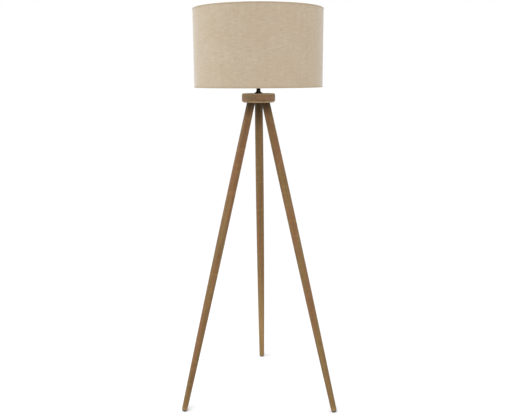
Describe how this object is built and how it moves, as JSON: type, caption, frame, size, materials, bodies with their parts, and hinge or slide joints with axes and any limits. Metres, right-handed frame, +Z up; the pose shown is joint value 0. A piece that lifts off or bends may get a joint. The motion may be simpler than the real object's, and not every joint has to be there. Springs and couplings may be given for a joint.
{
  "type": "tripod floor lamp",
  "caption": "Floor lamp with a linen drum shade on a harp, over a round wooden hub on splayed turned legs with rubber glides.",
  "frame": {"origin": "on the floor, under the lamp's axis, midway between the feet", "axes": "+Z up along the lamp's axis, -Y to the front between two legs, +Y to the back along the third leg"},
  "size_m": [0.5942, 0.5785, 1.5],
  "materials": {
    "hub_wood": "matte oiled",
    "leg_wood": "matte oiled",
    "insert_brass": "machined",
    "stud_steel": "zinc plated",
    "glide_rubber": "matte",
    "pipe_steel": "zinc plated",
    "nut_steel": "zinc plated",
    "bush_plastic": "matte",
    "neck_metal": "satin dark bronze",
    "harp_metal": "satin dark bronze",
    "socket_metal": "satin black",
    "liner_card": "matte",
    "base_phenolic": "semi matte",
    "contact_brass": "polished",
    "rotor_plastic": "matte",
    "shaft_steel": "brushed",
    "knob_plastic": "semi matte",
    "bulb_solder": "dull",
    "bulb_black_glass": "gloss",
    "bulb_cap_metal": "bright",
    "bulb_frosted_glass": "frosted",
    "spider_metal": "satin white",
    "liner_plastic": "matte white",
    "shade_linen": "coarse woven linen",
    "hem_linen": "woven linen tape"
  },
  "bodies": {
    "stand": {"hub_disc": "hub_wood", "leg_left": "leg_wood", "leg_right": "leg_wood", "leg_back": "leg_wood", "leg_inserts": "insert_brass", "leg_studs": "stud_steel", "foot_glide_left": "glide_rubber", "foot_glide_right": "glide_rubber", "foot_glide_back": "glide_rubber", "glide_nails": "stud_steel", "lamp_pipe": "pipe_steel", "pipe_nut": "nut_steel", "pipe_washer": "nut_steel", "cord_bush": "bush_plastic", "neck_cup": "neck_metal", "neck_tube": "neck_metal", "harp_saddle": "harp_metal", "harp_wire": "harp_metal", "harp_seat": "harp_metal", "socket_cap": "socket_metal", "cap_set_screw": "stud_steel", "socket_shell": "socket_metal", "socket_liner": "liner_card", "socket_base": "base_phenolic", "socket_screw_shell": "contact_brass", "socket_contact": "contact_brass", "terminal_screws": "contact_brass"},
    "harp_sleeve_left": {"harp_sleeve_left": "harp_metal"},
    "harp_sleeve_right": {"harp_sleeve_right": "harp_metal"},
    "switch": {"switch_rotor": "rotor_plastic", "switch_shaft": "shaft_steel", "switch_knob": "knob_plastic"},
    "bulb": {"bulb_contact": "bulb_solder", "bulb_insulator": "bulb_black_glass", "bulb_screw_shell": "bulb_cap_metal", "bulb_globe": "bulb_frosted_glass"},
    "shade": {"shade_fitter": "spider_metal", "shade_arms": "spider_metal", "shade_top_ring": "spider_metal", "shade_bottom_ring": "spider_metal", "shade_liner": "liner_plastic", "shade_cloth": "shade_linen", "shade_top_hem": "hem_linen", "shade_bottom_hem": "hem_linen"},
    "finial": {"finial": "harp_metal"}
  },
  "joints": [
    {"name": "shade_turn", "type": "hinge", "parent": "stand", "child": "shade", "pos_m": [0, 0, 1.4748], "axis": [0, 0, 1], "continuous": true},
    {"name": "finial_unscrew", "type": "hinge", "parent": "stand", "child": "finial", "pos_m": [0, 0, 1.4761], "axis": [0, 0, 1], "range_deg": [0, 1080]},
    {"name": "bulb_unscrew", "type": "hinge", "parent": "stand", "child": "bulb", "pos_m": [0, 0, 1.2744], "axis": [0, 0, 1], "range_deg": [0, 1260]},
    {"name": "switch_turn", "type": "hinge", "parent": "stand", "child": "switch", "pos_m": [0, -0.021, 1.265], "axis": [0, -1, 0], "continuous": true},
    {"name": "harp_sleeve_left_lift", "type": "slide", "parent": "stand", "child": "harp_sleeve_left", "axis": [0, 0, 1], "range_m": [0, 0.013]},
    {"name": "harp_sleeve_right_lift", "type": "slide", "parent": "stand", "child": "harp_sleeve_right", "axis": [0, 0, 1], "range_m": [0, 0.013]}
  ]
}
